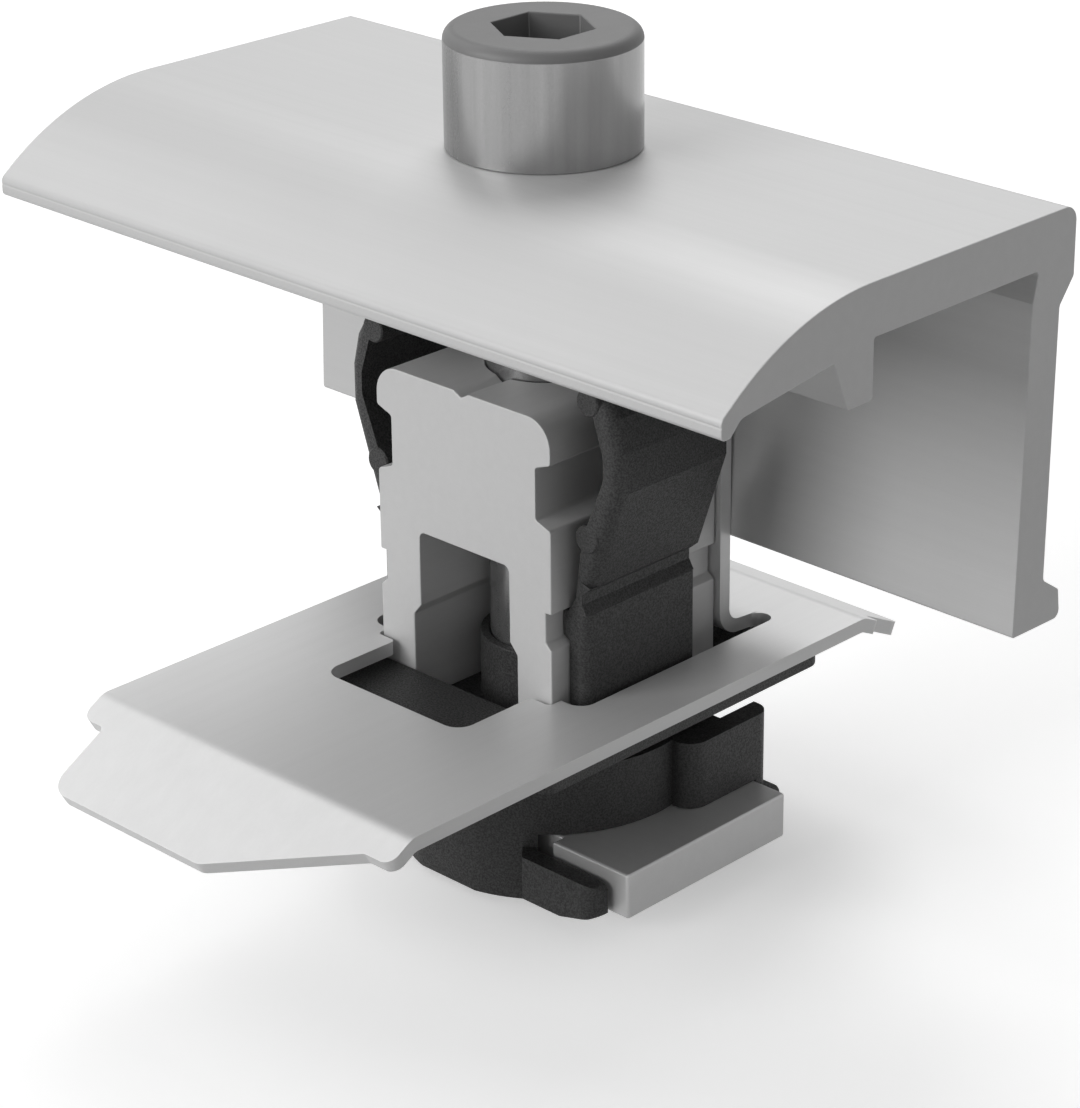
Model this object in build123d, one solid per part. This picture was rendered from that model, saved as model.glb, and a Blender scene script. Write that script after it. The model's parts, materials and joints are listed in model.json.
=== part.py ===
from build123d import *
from math import cos, radians, sin, sqrt, tan
import os

# Solar panel end clamp. Sizes are in millimetres.
# The origin is on the screw axis at the top face of the base plate.
# +X runs along the clamp extrusion, +Y points away from the panel, +Z is up.

# Clamp extrusion, seen in section with y across and z up.
clamp_length = 65.0
clamp_top = 34.7
plate_wall = 3.5
back_face = 13.85
back_edge_radius = 1.1
nose_radius = 21.6
nose_start = -6.0
nose_tip = -19.2
tooth_bottom = 28.55
tooth_width = 0.78
lip_root = 30.55
rib_back = -5.8
rib_front_top = -9.4
rib_bottom = 27.27
rib_bottom_width = 2.3
leg_inner_top = 9.63
leg_inner_bottom = 9.08
leg_outer_top = 12.5
leg_outer_bottom = 12.16
leg_bottom = 6.6
foot_outer = 14.1
foot_height = 1.95
clamp_travel = 4.0

# Socket head screw.
screw_d = 8.0
screw_length = 50.0
head_d = 13.0
head_height = 8.0
hex_flats = 6.0
hex_depth = 4.2
clearance_hole_d = 9.0
block_bore_d = 8.16

# Sheet metal base plate.
sheet = 1.0
block_half = 8.05
plate_width = 29.4
bend_front = -27.0
bend_back = 16.2
bend_inner_radius = 0.8
front_angle = 30.0
front_length = 7.6
back_angle = 26.0
back_length = 6.7
front_shoulder = 2.2
back_shoulder = 1.9
front_shoulder_step = 2.25
back_shoulder_step = 1.5
front_slant_end = 2.2
window_half = block_half + 2.05
window_front = -7.3
window_back = 12.1
notch_half = 6.45
notch_front = -15.0
block_gate_half = block_half + 0.15
block_gate_front = -8.38
lug_half = 8.5
lug_front = 8.05
lug_lift = 0.18
lug_inner_radius = 1.0
lug_top_wide = 16.7
lug_top = 22.0
lug_tip_half = 6.0

# Spacer block, extruded along y.
block_front = -8.0
block_back = 7.95
block_top = 19.75
block_bottom = -4.2
block_corner = 2.0
block_slot_half = 4.2
block_slot_top = 8.6
block_slot_flare = 4.88

# Black clip holder under the plate.
flange_top = -1.7
flange_bottom = -3.05
flange_half_x = 13.0
flange_half_y = 13.6
stem_half_x = block_half + 1.95
stem_half_y = 8.1
stem_bottom = -5.3
post_inner = block_half + 0.05
post_outer = block_half + 1.65
post_top = 6.2
neck_outer = block_half + 1.23
neck_inner = block_half + 0.71
neck_z = 7.24
bow_front = -6.4
bow_back = 4.0
collar_radius = 4.7
collar_top = 0.3
screw_play = 0.08
pocket_play = 0.05

# Bow springs and the cap that they carry.
bow_outer = block_half + 4.45
bow_thickness = 1.3
bow_edge_radius = 1.0
upper_bead_x = block_half + 1.85
upper_bead_z = 21.2
upper_bead_radius = 0.95
lower_bead_x = block_half + 1.7
lower_bead_z = 11.7
lower_bead_radius = 0.97
bead_proud = 0.1
tenon_half_width = 0.25
tenon_x = block_half + 0.85
tenon_length = 2.4
tenon_inset = 2.0
cap_thickness = 2.6
cap_clearance = 0.1
cap_overhang = 1.7
strap_inner_gap = 0.8
strap_front = -5.2
strap_back = 3.6
through = 40.0

# Quarter-turn carrier and its nut.
hub_radius = 10.35
hub_top = -5.4
hub_bottom = -15.25
lead_in_start = -12.9
lead_in_depth = 0.32
lobe_half_x = 12.05
lobe_start_y = 1.3
lobe_half_y = 9.5
ear_inner_x = 10.43
ear_root_y = 6.0
nut_half_x = 14.8
nut_half_y = 7.9
nut_top = -10.36
nut_thickness = 3.3
nut_shoulder_x = 7.95
nut_waist = 0.9
nut_boss_radius = 6.5
nut_boss_top = -6.6
slot_play = 0.06
thread_play = 0.05
finger_inner = 8.35
finger_outer = 9.68
finger_start = 6.75
finger_end = 13.4
finger_top = -11.25
finger_bottom = -14.4
finger_taper_start = 10.2


def outline(points, corners):
    """A closed face through the points, with the named corners rounded."""
    face = make_face(Polyline(*points, close=True))
    return round_corners(face, corners)


def round_corners(face, corners):
    """Round each listed corner of a flat face, given as place and radius."""
    for place, radius in corners:
        corner = face.vertices().sort_by_distance((place[0], place[1], 0))[0]
        face = fillet([corner], radius)
    return face


def along_x(face, x_low, x_high):
    """Sweep a face drawn as (y, z) from x_low to x_high."""
    plane = Plane((x_low, 0, 0), x_dir=(0, 1, 0), z_dir=(1, 0, 0))
    return extrude(plane * face, amount=x_high - x_low)


def along_y(face, y_low, y_high):
    """Sweep a face drawn as (x, z) from y_low to y_high."""
    plane = Plane((0, y_high, 0), x_dir=(1, 0, 0), z_dir=(0, -1, 0))
    return extrude(plane * face, amount=y_high - y_low)


def along_z(face, z_low, z_high):
    """Sweep a face drawn as (x, y) from z_low to z_high."""
    return extrude(Plane.XY.offset(z_low) * face, amount=z_high - z_low)


def slab(x_low, x_high, y_low, y_high, z_low, z_high):
    """A plain block between two corners."""
    size = (x_high - x_low, y_high - y_low, z_high - z_low)
    middle = ((x_low + x_high) / 2, (y_low + y_high) / 2, (z_low + z_high) / 2)
    return Pos(*middle) * Box(*size)


def rod(radius, z_low, z_high, x=0.0, y=0.0):
    """A plain cylinder standing on z."""
    return Pos(x, y, (z_low + z_high) / 2) * Cylinder(radius, z_high - z_low)


def half_turn(shape):
    """The same shape turned by 180 degrees about the screw axis."""
    return Rot(0, 0, 180) * shape


def clamp_section():
    """The extrusion's section: domed lip, tooth, short rib, long back leg and foot."""
    under = clamp_top - plate_wall
    drop_to_tip = nose_radius - sqrt(nose_radius**2 - (nose_start - nose_tip) ** 2)
    tip_top = (nose_tip, clamp_top - drop_to_tip)
    mid_y = (nose_start + nose_tip) / 2
    mid_drop = nose_radius - sqrt(nose_radius**2 - (nose_start - mid_y) ** 2)
    dome = ThreePointArc((nose_start, clamp_top), (mid_y, clamp_top - mid_drop), tip_top)
    rib_front_bottom = (rib_back - rib_bottom_width, rib_bottom)
    tooth_front = (nose_tip, tooth_bottom)
    tooth_back = (nose_tip + tooth_width, tooth_bottom)
    lip_hollow = (tooth_back[0] + 0.72, tooth_bottom + 0.93)
    lip_inner = (rib_front_top, lip_root)
    leg_height = clamp_top - 6.54
    relief = (leg_inner_top + 0.06, leg_height + 0.98)
    foot_top = (foot_outer - 0.25, leg_bottom + foot_height)
    rest = Polyline(
        tip_top,
        tooth_front,
        tooth_back,
        lip_hollow,
        lip_inner,
        rib_front_bottom,
        (rib_back, rib_bottom),
        (rib_back, under),
        (relief[0] + 0.5, under),
        relief,
        (leg_inner_top, leg_height),
        (leg_inner_bottom, leg_bottom + 0.2),
        (leg_inner_bottom + 0.12, leg_bottom),
        (foot_outer, leg_bottom - 0.1),
        foot_top,
        (leg_outer_bottom, leg_bottom + foot_height + 1.15),
        (leg_outer_top, leg_height - 0.66),
        (back_face, clamp_top - 4.7),
        (back_face, clamp_top),
        (nose_start, clamp_top),
    )
    face = make_face([dome] + list(rest.edges()))
    rounded = [
        (tip_top, 0.6),
        (tooth_front, 0.38),
        (tooth_back, 0.36),
        (lip_hollow, 0.9),
        (lip_inner, 0.7),
        (rib_front_bottom, 0.5),
        ((rib_back, rib_bottom), 0.4),
        ((rib_back, under), 0.7),
        ((relief[0] + 0.5, under), 0.3),
        ((foot_outer, leg_bottom - 0.1), 0.55),
        (foot_top, 0.45),
        ((leg_outer_bottom, leg_bottom + foot_height + 1.15), 0.5),
        ((leg_outer_top, leg_height - 0.66), 0.5),
        ((back_face, clamp_top - 4.7), 0.4),
        ((back_face, clamp_top), back_edge_radius),
    ]
    return round_corners(face, rounded)


def clamp_profile():
    """The aluminium extrusion with its screw hole."""
    body = along_x(clamp_section(), -clamp_length / 2, clamp_length / 2)
    hole = rod(clearance_hole_d / 2, clamp_top - plate_wall - 1, clamp_top + 1)
    return body - hole


def clamp_screw():
    """Hexagon socket head screw, standing head up on the clamp."""
    head = rod(head_d / 2, clamp_top, clamp_top + head_height)
    top_edge = head.edges().group_by(Axis.Z)[-1]
    head = fillet(top_edge, 0.8)
    shank = rod(screw_d / 2, clamp_top - screw_length, clamp_top + 0.5)
    shank = chamfer(shank.edges().group_by(Axis.Z)[0], 0.7)
    across_corners = hex_flats / cos(radians(30))
    hexagon = RegularPolygon(across_corners / 2, 6, rotation=30)
    socket = along_z(hexagon, clamp_top + head_height - hex_depth, clamp_top + head_height + 1)
    cone_top = clamp_top + head_height - hex_depth
    drill_end = Pos(0, 0, cone_top - 0.5) * Cone(0.01, hex_flats / 2 - 0.2, 1.0)
    return head + shank - socket - drill_end


def bent_strip(bend_y, angle, length, side):
    """The bend and the flat flange beyond it; side is -1 at the front, +1 at the back."""
    outer = bend_inner_radius + sheet
    setback = outer * tan(radians(angle / 2))
    start = bend_y - side * setback
    centre = (start, -outer)
    turn = radians(angle)
    far = (side * sin(turn), cos(turn))
    half = (side * sin(turn / 2), cos(turn / 2))

    def at(direction, radius):
        return (centre[0] + direction[0] * radius, centre[1] + direction[1] * radius)

    arc_top = ThreePointArc(at((0, 1), outer), at(half, outer), at(far, outer))
    arc_low = ThreePointArc(
        at(far, bend_inner_radius), at(half, bend_inner_radius), at((0, 1), bend_inner_radius)
    )
    ends = [
        Line(at(far, outer), at(far, bend_inner_radius)),
        Line(at((0, 1), bend_inner_radius), at((0, 1), outer)),
    ]
    sector = make_face([arc_top, ends[0], arc_low, ends[1]])
    bend = along_x(sector, -plate_width / 2, plate_width / 2)
    along = (0, side * cos(turn), -sin(turn))
    normal = (0, side * sin(turn), cos(turn))
    end = at(far, outer)
    across = (side, 0, 0)
    plane = Plane((0, end[0], end[1]), x_dir=across, z_dir=normal)
    return bend, plane, along, setback, start


def front_flange():
    """Front flange bent down: narrow tongue with one slanted side below the shoulders."""
    bend, plane, _, setback, start = bent_strip(bend_front, front_angle, front_length, -1)
    wide = plate_width / 2
    narrow = wide - front_shoulder_step
    end = front_length - setback
    step = front_shoulder - setback
    plane = Plane(plane.origin, x_dir=(1, 0, 0), z_dir=plane.z_dir)
    low = -1
    points = [
        (-wide, 0),
        (-wide, low * step),
        (-narrow, low * step),
        (-narrow, low * end),
        (front_slant_end, low * end),
        (narrow, low * step),
        (wide, low * step),
        (wide, 0),
    ]
    rounded = [
        (points[1], 0.9),
        (points[2], 0.4),
        (points[3], 1.5),
        (points[4], 1.5),
        (points[5], 0.4),
        (points[6], 0.9),
    ]
    flat = extrude(plane * outline(points, rounded), amount=-sheet)
    return bend + flat, start


def back_flange():
    """Back flange bent down, stepped in at both sides."""
    bend, plane, _, setback, start = bent_strip(bend_back, back_angle, back_length, 1)
    wide = plate_width / 2
    narrow = wide - back_shoulder_step
    end = back_length - setback
    step = back_shoulder - setback
    plane = Plane(plane.origin, x_dir=(1, 0, 0), z_dir=plane.z_dir)
    points = [
        (-wide, 0),
        (-wide, step),
        (-narrow, step),
        (-narrow, end),
        (narrow, end),
        (narrow, step),
        (wide, step),
        (wide, 0),
    ]
    rounded = [
        (points[1], 0.6),
        (points[2], 0.5),
        (points[3], 1.2),
        (points[4], 1.2),
        (points[5], 0.5),
        (points[6], 0.6),
    ]
    flat = extrude(plane * outline(points, rounded), amount=-sheet)
    return bend + flat, start


def window_cutter():
    """The opening punched in the plate, with the relief ends beside the lug."""
    room = outline(
        [
            (-notch_half, notch_front),
            (notch_half, notch_front),
            (notch_half, block_gate_front),
            (block_gate_half, block_gate_front),
            (block_gate_half, window_front),
            (window_half, window_front),
            (window_half, window_back),
            (-window_half, window_back),
            (-window_half, window_front),
            (-block_gate_half, window_front),
            (-block_gate_half, block_gate_front),
            (-notch_half, block_gate_front),
        ],
        [
            ((-notch_half, notch_front), 1.3),
            ((notch_half, notch_front), 1.3),
            ((notch_half, block_gate_front), 0.4),
            ((-notch_half, block_gate_front), 0.4),
            ((block_gate_half, block_gate_front), 0.4),
            ((-block_gate_half, block_gate_front), 0.4),
            ((window_half, window_front), 1.2),
            ((-window_half, window_front), 1.2),
            ((window_half, window_back), 0.79),
            ((-window_half, window_back), 0.79),
        ],
    )
    rounding = window_half - lug_half
    hollow = along_z(room, -sheet - 1, 1)
    for side in (-1, 1):
        middle = side * (window_half + lug_half) / 2
        corner = slab(
            middle - rounding,
            middle + rounding,
            window_back - rounding / 2,
            window_back + through,
            -through,
            through,
        )
        end = rod(rounding / 2, -sheet - 1, 1, middle, window_back - rounding / 2)
        hollow = hollow - corner + end
    return hollow


def lug():
    """The tongue folded up out of the opening, narrower towards its tip."""
    centre_y = lug_front + sheet + lug_inner_radius
    turn = cos(radians(45))
    inner = lug_inner_radius
    outer = lug_inner_radius + sheet
    mid_z = lug_lift + lug_inner_radius
    low = ThreePointArc(
        (centre_y - outer, mid_z),
        (centre_y - outer * turn, mid_z - outer * turn),
        (centre_y, mid_z - outer),
    )
    high = ThreePointArc(
        (centre_y, mid_z - inner),
        (centre_y - inner * turn, mid_z - inner * turn),
        (centre_y - inner, mid_z),
    )
    ends = [
        Line((centre_y, mid_z - outer), (centre_y, mid_z - inner)),
        Line((centre_y - inner, mid_z), (centre_y - outer, mid_z)),
    ]
    fold = along_x(make_face([low, ends[0], high, ends[1]]), -lug_half, lug_half)
    land = outline(
        [
            (centre_y, lug_lift),
            (window_back, 0),
            (window_back + 0.3, 0),
            (window_back + 0.3, -sheet),
            (window_back, -sheet),
            (centre_y, lug_lift - sheet),
        ],
        [],
    )
    fold += along_x(land, -lug_half, lug_half)
    face = outline(
        [
            (-lug_half, mid_z),
            (lug_half, mid_z),
            (lug_half, lug_top_wide),
            (lug_tip_half, lug_top_wide),
            (lug_tip_half, lug_top),
            (-lug_tip_half, lug_top),
            (-lug_tip_half, lug_top_wide),
            (-lug_half, lug_top_wide),
        ],
        [
            ((lug_half, lug_top_wide), 0.9),
            ((-lug_half, lug_top_wide), 0.9),
            ((lug_tip_half, lug_top_wide), 0.4),
            ((-lug_tip_half, lug_top_wide), 0.4),
            ((lug_tip_half, lug_top), 1.3),
            ((-lug_tip_half, lug_top), 1.3),
        ],
    )
    return fold + along_y(face, lug_front, lug_front + sheet)


def base_plate():
    """Folded sheet: flat seat, opening, upright lug and two bent flanges."""
    front, front_start = front_flange()
    back, back_start = back_flange()
    half = plate_width / 2
    flat = slab(-half, half, front_start, back_start, -sheet, 0)
    return flat - window_cutter() + front + back + lug()


def spacer_block():
    """Extruded block with side grooves, a drill mark on top and a slot below."""
    groove_1 = block_half - 1.35
    groove_2 = block_half - 0.55
    side = [
        (block_half, block_bottom),
        (block_half, 3.7),
        (groove_2, 4.15),
        (groove_2, 6.3),
        (block_half, 6.3),
        (block_half, 12.2),
        (groove_1, 12.7),
        (groove_1, 16.3),
        (block_half, 16.8),
        (block_half, block_top),
    ]
    slot = [
        (block_slot_flare, block_bottom),
        (block_slot_flare, 2.4),
        (block_slot_half, 3.2),
        (block_slot_half, block_slot_top),
    ]
    mirrored = [(-x, z) for x, z in reversed(side)]
    inner = [(-x, z) for x, z in slot] + list(reversed(slot))
    rounded = [
        ((block_half, block_top), block_corner),
        ((-block_half, block_top), block_corner),
        ((block_slot_half, block_slot_top), 0.5),
        ((-block_slot_half, block_slot_top), 0.5),
    ]
    for sign in (-1, 1):
        rounded += [
            ((sign * groove_1, 12.7), 0.3),
            ((sign * groove_1, 16.3), 0.3),
            ((sign * block_half, 12.2), 0.3),
            ((sign * block_half, 16.8), 0.3),
        ]
    body = along_y(outline(side + mirrored + inner, rounded), block_front, block_back)
    mark = outline([(-0.73, block_top + 0.01), (0.73, block_top + 0.01), (0, block_top - 0.4)], [])
    bore = rod(block_bore_d / 2, block_slot_top - 2, block_top + 1)
    return body - along_y(mark, block_front - 1, block_back + 1) - bore


def holder_post(side):
    """One upright of the holder: a rib for the block's groove and a mortise for a bow."""
    groove = block_half - 0.5
    face = outline(
        [
            (side * post_inner, flange_top - 0.5),
            (side * post_outer, flange_top - 0.5),
            (side * post_outer, post_top),
            (side * post_inner, post_top),
            (side * groove, post_top - 0.05),
            (side * groove, 4.3),
            (side * post_inner, 3.95),
        ],
        [],
    )
    post = along_y(face, bow_front, bow_back)
    x_pair = sorted([side * (tenon_x - tenon_half_width), side * (tenon_x + tenon_half_width)])
    mortise = slab(
        x_pair[0],
        x_pair[1],
        bow_front + tenon_inset,
        bow_back - tenon_inset,
        post_top - tenon_length,
        post_top + 1,
    )
    front = [edge for edge in post.edges().filter_by(Axis.Z) if edge.center().Y < bow_front + 0.01]
    outer_front = [edge for edge in front if abs(edge.center().X) > post_outer - 0.01]
    post = fillet(outer_front, 0.8)
    return post - mortise


def clip_holder():
    """Moulding under the plate: flange, pocket for the block, collar and two posts."""
    plan = RectangleRounded(2 * flange_half_x, 2 * flange_half_y, 1.0)
    flange = along_z(plan, flange_bottom, flange_top)
    stem = along_z(RectangleRounded(2 * stem_half_x, 2 * stem_half_y, 1.5), stem_bottom, flange_bottom)
    pocket_x = block_half + pocket_play
    pocket = slab(-pocket_x, pocket_x, -stem_half_y, stem_half_y, block_bottom, flange_top + 1)
    collar = rod(collar_radius, stem_bottom, collar_top)
    body = flange + stem - pocket + collar + holder_post(-1) + holder_post(1)
    return body - rod(screw_d / 2 + screw_play, stem_bottom - 1, collar_top + 1)


def edge_rounder(low, high, below):
    """Cutter that rounds a bow's front outer edge along one straight stretch."""
    run = high[0] - low[0]
    rise = high[1] - low[1]
    length = sqrt(run**2 + rise**2) + 0.6 + below
    radius = bow_edge_radius
    start = Plane((low[0], bow_front, low[1]), x_dir=(-rise, 0, run), z_dir=(run, 0, rise))
    middle = length / 2 - below
    corner = Pos((radius - 1) / 2, (1 - radius) / 2, middle) * Box(radius + 1, radius + 1, length)
    keep = Pos(radius, -radius, middle) * Cylinder(radius, length + 1)
    return start * (corner - keep)


def right_bow():
    """The bow on the +x side: strip rounded at its front outer edge, two beads, a tenon."""
    outer = bow_outer
    inner = bow_outer - bow_thickness
    rim = upper_bead_radius * 0.7
    crest = [
        (upper_bead_x + rim, upper_bead_z + rim),
        (upper_bead_x + 1.35, upper_bead_z + 0.35),
        (outer - 0.55, upper_bead_z - 0.8),
        (outer, 18.1),
        (outer, 15.35),
        (post_outer + 0.37, 8.26),
    ]
    strip = outline(
        crest
        + [
            (neck_outer, 7.6),
            (neck_outer, 6.9),
            (post_outer, post_top),
            (post_inner, post_top),
            (neck_inner, neck_z),
            (neck_inner + 0.41, 10.6),
            (lower_bead_x, lower_bead_z),
            (lower_bead_x, lower_bead_z + 0.93 * lower_bead_radius),
            (inner, 16.2),
            (inner, 17.75),
            (upper_bead_x + 0.6 * rim, upper_bead_z - rim),
            (upper_bead_x, upper_bead_z),
        ],
        [((inner, 16.2), 1.2), ((inner, 17.75), 1.2)],
    )
    body = along_y(strip, bow_front, bow_back)
    for index in range(len(crest) - 1):
        below = 0 if index == len(crest) - 2 else 0.6
        body -= edge_rounder(crest[index + 1], crest[index], below)
    for x, z, radius in (
        (upper_bead_x, upper_bead_z, upper_bead_radius),
        (lower_bead_x, lower_bead_z, lower_bead_radius),
    ):
        round_face = Pos(x, z) * Circle(radius)
        bead = along_y(round_face, bow_front - bead_proud, bow_back + bead_proud)
        body += chamfer(bead.edges().filter_by(GeomType.CIRCLE), bead_proud)
    tenon = slab(
        tenon_x - tenon_half_width,
        tenon_x + tenon_half_width,
        bow_front + tenon_inset,
        bow_back - tenon_inset,
        post_top - tenon_length,
        post_top + tenon_half_width,
    )
    return body + tenon


def left_bow():
    """The bow on the -x side, a mirror image of the other."""
    return mirror(right_bow(), about=Plane.YZ)


def top_cap():
    """Moulding under the clamp: bridge round the screw and a cradle over each bead."""
    under = clamp_top - plate_wall
    bridge_front = rib_back + cap_clearance
    bridge_back = leg_inner_top - 0.15
    half = upper_bead_x + cap_overhang
    bridge = slab(-half, half, bridge_front, bridge_back, under - cap_thickness, under)
    bridge = fillet(bridge.edges().filter_by(Axis.Z), 1.0)
    top_edges = bridge.faces().sort_by(Axis.Z)[-1].edges()
    body = chamfer(top_edges, 0.8)
    cradle_bottom = upper_bead_z - 0.2
    socket_radius = upper_bead_radius + cap_clearance
    strap_inner = block_half + strap_inner_gap
    strap_outer = upper_bead_x + socket_radius + 0.3
    mouth_top = upper_bead_z + cap_clearance
    outer_lip = upper_bead_z + socket_radius + 0.3
    for side in (-1, 1):
        arm = outline(
            [
                (side * strap_inner, under - 1.0),
                (side * strap_inner, mouth_top),
                (side * (upper_bead_x + 0.6), mouth_top),
                (side * (upper_bead_x + 0.6), outer_lip),
                (side * strap_outer, outer_lip),
                (side * strap_outer, under - 1.0),
            ],
            [],
        )
        strap = along_y(arm, strap_front, strap_back)
        socket_face = Pos(side * upper_bead_x, upper_bead_z) * Circle(socket_radius)
        body += strap - along_y(socket_face, -through, through)
    return body - rod(clearance_hole_d / 2, under - cap_thickness - 1, under + 1)


def carrier_finger(side):
    """A thin tapered guard beside the nut on the +x side; side is -1 in front, +1 behind."""
    plan = outline(
        [
            (finger_start - 1.3, side * (nut_half_y + slot_play)),
            (finger_start - 1.0, side * (finger_outer - 1.08)),
            (finger_start, side * finger_outer),
            (finger_end, side * finger_outer),
            (finger_end, side * finger_inner),
            (finger_start + 0.2, side * finger_inner),
            (finger_start - 0.15, side * (nut_half_y + slot_play)),
        ],
        [((finger_end, side * finger_outer), 1.2)],
    )
    elevation = outline(
        [
            (finger_start - 2, finger_top),
            (finger_end - 0.85, finger_top),
            (finger_end - 0.3, finger_top - 0.15),
            (finger_end + 0.01, finger_top - 0.5),
            (finger_end + 0.01, finger_bottom + 0.95),
            (finger_end - 0.7, finger_bottom + 0.65),
            (finger_taper_start, finger_bottom),
            (finger_start - 2, finger_bottom),
        ],
        [],
    )
    y_pair = sorted([side * 7, side * 11])
    return along_z(plan, finger_bottom, finger_top) & along_y(elevation, y_pair[0], y_pair[1])


def lead_in(side):
    """The wedge cut from the hub's lower front or back for dropping into the rail."""
    edge = side * (hub_radius + 0.01)
    deep = side * (hub_radius - lead_in_depth)
    face = outline(
        [
            (edge, lead_in_start),
            (deep, hub_bottom),
            (deep, hub_bottom - 1),
            (side * (hub_radius + 2), hub_bottom - 1),
            (side * (hub_radius + 2), lead_in_start),
        ],
        [],
    )
    return along_x(face, -hub_radius, hub_radius)


def nut_carrier():
    """Round hub with two stop lobes, a through slot for the nut and four guards."""
    lobe = outline(
        [
            (1.0, lobe_start_y),
            (lobe_half_x, lobe_start_y),
            (lobe_half_x, lobe_half_y),
            (ear_inner_x, lobe_half_y),
            (ear_inner_x, ear_root_y),
            (1.0, ear_root_y),
        ],
        [((lobe_half_x, lobe_start_y), 1.5), ((lobe_half_x, lobe_half_y), 1.2)],
    )
    plan = Circle(hub_radius) + lobe + half_turn(lobe)
    hub = along_z(plan, hub_bottom, hub_top) - lead_in(-1) - lead_in(1)
    fingers = carrier_finger(-1) + carrier_finger(1)
    hub = hub + fingers + half_turn(fingers)
    slot = slab(
        -through,
        through,
        -nut_half_y - slot_play,
        nut_half_y + slot_play,
        nut_top - nut_thickness - slot_play,
        nut_top + slot_play,
    )
    boss_room = rod(nut_boss_radius + 0.1, nut_top - 1, nut_boss_top + 0.1)
    bore = rod(screw_d / 2 + 0.4, hub_bottom - 1, hub_top + 1)
    return hub - slot - boss_room - bore


def slot_nut():
    """Flat steel nut, waisted inside the hub, with a threaded boss on its upper side."""
    waist = nut_half_y - nut_waist
    quarter = [
        (nut_shoulder_x, waist),
        (nut_shoulder_x, nut_half_y),
        (nut_half_x, nut_half_y),
    ]
    points = quarter + [(x, -y) for x, y in reversed(quarter)]
    points += [(-x, -y) for x, y in quarter] + [(-x, y) for x, y in reversed(quarter)]
    corners = []
    for sign_x in (-1, 1):
        for sign_y in (-1, 1):
            corners.append(((sign_x * nut_half_x, sign_y * nut_half_y), 0.25))
    bar = along_z(outline(points, corners), nut_top - nut_thickness, nut_top)
    bar = chamfer(bar.faces().sort_by(Axis.Z)[-1].edges(), 0.12)
    bar = chamfer(bar.faces().sort_by(Axis.Z)[0].edges(), 0.12)
    boss = rod(nut_boss_radius, nut_top - 0.5, nut_boss_top)
    boss = chamfer(boss.edges().group_by(Axis.Z)[-1], 0.4)
    return bar + boss - rod(screw_d / 2 + thread_play, nut_top - nut_thickness - 1, nut_boss_top + 1)


def save(name, shape):
    """Write one node as a STEP file."""
    solids = shape.solids()
    if len(solids) != 1:
        raise ValueError(name + " has " + str(len(solids)) + " solids")
    solid = solids[0]
    solid.label = name
    export_step(solid, os.path.join("parts", name + ".step"))


def main():
    os.makedirs("parts", exist_ok=True)
    nodes = {
        "clamp_profile": clamp_profile(),
        "clamp_screw": clamp_screw(),
        "spacer_block": spacer_block(),
        "base_plate": base_plate(),
        "clip_holder": clip_holder(),
        "left_bow": left_bow(),
        "right_bow": right_bow(),
        "top_cap": top_cap(),
        "nut_carrier": nut_carrier(),
        "slot_nut": slot_nut(),
    }
    for name, shape in nodes.items():
        save(name, shape)


main()
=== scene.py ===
import json
from contextlib import contextmanager
from math import pi, radians, sqrt

import bmesh
import bpy
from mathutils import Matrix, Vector


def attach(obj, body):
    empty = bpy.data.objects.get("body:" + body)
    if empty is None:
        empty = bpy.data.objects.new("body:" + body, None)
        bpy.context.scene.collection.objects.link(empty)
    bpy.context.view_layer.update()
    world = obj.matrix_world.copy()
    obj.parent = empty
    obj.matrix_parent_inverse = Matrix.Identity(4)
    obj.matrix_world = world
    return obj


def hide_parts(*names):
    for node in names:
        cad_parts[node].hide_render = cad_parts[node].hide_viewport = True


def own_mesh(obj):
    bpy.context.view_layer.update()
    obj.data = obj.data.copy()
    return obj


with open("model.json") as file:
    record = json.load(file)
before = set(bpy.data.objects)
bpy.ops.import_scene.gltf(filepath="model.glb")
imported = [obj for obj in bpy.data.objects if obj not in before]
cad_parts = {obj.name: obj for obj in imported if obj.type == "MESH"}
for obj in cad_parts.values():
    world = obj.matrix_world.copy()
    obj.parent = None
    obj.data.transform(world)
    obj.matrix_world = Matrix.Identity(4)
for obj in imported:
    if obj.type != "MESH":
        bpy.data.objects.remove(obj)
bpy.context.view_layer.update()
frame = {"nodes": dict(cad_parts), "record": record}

MM = 0.001

# Sizes in millimetres. Y runs away from the panel and Z up the screw. Most are the part's own. The
# dome's radius and the small rounds follow the photograph's outline.
CLAMP_LENGTH = 65.0
CLAMP_TOP = 34.7
TOP_WALL = 3.5
TOP_UNDERSIDE = CLAMP_TOP - TOP_WALL
BACK_FACE = 13.85
BACK_EDGE_HEIGHT = 4.7
NOSE_RADIUS = 20.2
NOSE_START = -6.0
NOSE_TIP = -19.2
NOSE_STEPS = 28
LIP_RUN = 0.9
LIP_LINE = 29.4
LIP_LINE_HALF = 0.12
LIP_LINE_DEPTH = 0.025
LIP_ROOT = 30.55
TOOTH_BOTTOM = 28.55
TOOTH_WIDTH = 0.78
RIB_BACK = -5.8
RIB_FRONT_TOP = -9.4
RIB_BOTTOM = 27.27
RIB_BOTTOM_WIDTH = 2.3
LEG_TOP = CLAMP_TOP - 6.54
LEG_INNER_TOP = 9.63
LEG_INNER_BOTTOM = 9.08
LEG_OUTER_TOP = 12.5
LEG_OUTER_BOTTOM = 12.16
LEG_BOTTOM = 6.6
FOOT_OUTER = 14.1
FOOT_HEIGHT = 1.95
HOLE_D = 9.0
DRILL_DEPTH = 12.0
SCREW_D = 8.0
SCREW_TIP = -15.3
THREAD_PITCH = 1.25
THREAD_DEPTH = 0.68
THREAD_TOP = 0.0
THREAD_STEPS_ROUND = 56
THREAD_STEPS_ALONG = 150
SCREW_CHAMFER = 0.7
RIM_START = 41.95
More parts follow.
